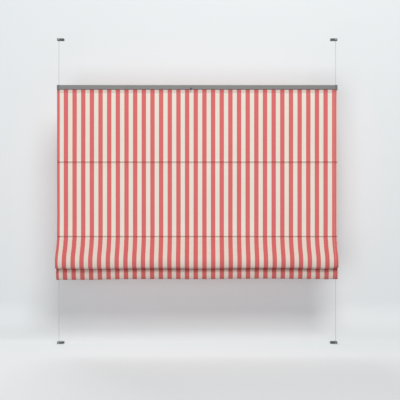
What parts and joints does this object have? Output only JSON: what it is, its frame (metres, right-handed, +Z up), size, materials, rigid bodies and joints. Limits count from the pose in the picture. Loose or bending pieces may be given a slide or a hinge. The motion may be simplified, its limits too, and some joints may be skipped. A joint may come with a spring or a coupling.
{
  "type": "roman blind",
  "caption": "Roman blind with red and cream stripes, held between a top rail and a hidden lower rail that slide on two taut side cords, its lower cloth gathered in two soft folds.",
  "frame": {"origin": "half way between the screw holes of the two upper tension shoes, on the face that they are screwed to", "axes": "+Z up, +X along the rails to the right as seen from the room, +Y away from the room towards the window; the room side faces -Y"},
  "size_m": [0.9728, 0.0631, 1.058],
  "materials": {
    "shoe_plastic": "fine satin moulding",
    "anchor_metal": "plain turned barrel",
    "cord": "braided polyester",
    "rail": "satin grey anodised",
    "cap_plastic": "fine satin moulding",
    "strip_plastic": "extruded strip",
    "grip_plastic": "satin moulding",
    "cloth": "plain woven cotton, cream",
    "stripe": "plain woven cotton, soft red",
    "rod": "drawn rod",
    "guide_plastic": "fine satin moulding"
  },
  "bodies": {
    "frame": {"shoe_top_left": "shoe_plastic", "shoe_top_right": "shoe_plastic", "shoe_bottom_left": "shoe_plastic", "shoe_bottom_right": "shoe_plastic", "anchor_top_left": "anchor_metal", "anchor_top_right": "anchor_metal", "anchor_bottom_left": "anchor_metal", "anchor_bottom_right": "anchor_metal", "tension_cord_left": "cord", "tension_cord_right": "cord"},
    "top_rail": {"top_rail": "rail", "top_cap_left": "cap_plastic", "top_cap_right": "cap_plastic", "top_cloth_strip": "strip_plastic", "grip": "grip_plastic", "cloth": "cloth", "red_stripes": "stripe", "rod_1": "rod", "rod_1_guide_left": "guide_plastic", "rod_1_guide_right": "guide_plastic", "rod_2": "rod", "rod_2_guide_left": "guide_plastic", "rod_2_guide_right": "guide_plastic"},
    "rod_3": {"rod_3": "rod", "rod_3_guide_left": "guide_plastic", "rod_3_guide_right": "guide_plastic"},
    "bottom_rail": {"bottom_rail": "rail", "bottom_cap_left": "cap_plastic", "bottom_cap_right": "cap_plastic", "bottom_cloth_strip": "strip_plastic"}
  },
  "joints": [
    {"name": "top_rail_slide", "type": "slide", "parent": "frame", "child": "top_rail", "axis": [0, 0, 1], "range_m": [0, 0.15], "deforming": ["cloth", "red_stripes", "tension_cord_left", "tension_cord_right"]},
    {"name": "bottom_rail_slide", "type": "slide", "parent": "frame", "child": "bottom_rail", "axis": [0, 0, 1], "range_m": [-0.315, 0], "deforming": ["cloth", "red_stripes", "tension_cord_left", "tension_cord_right"]},
    {"name": "rod_3_slide", "type": "slide", "parent": "frame", "child": "rod_3", "axis": [0, 0, 1], "range_m": [-0.0851, 0], "deforming": ["cloth", "red_stripes"]}
  ],
  "couplings": [
    {"joint": "rod_3_slide", "follows": "bottom_rail_slide", "ratio": 0.27}
  ]
}
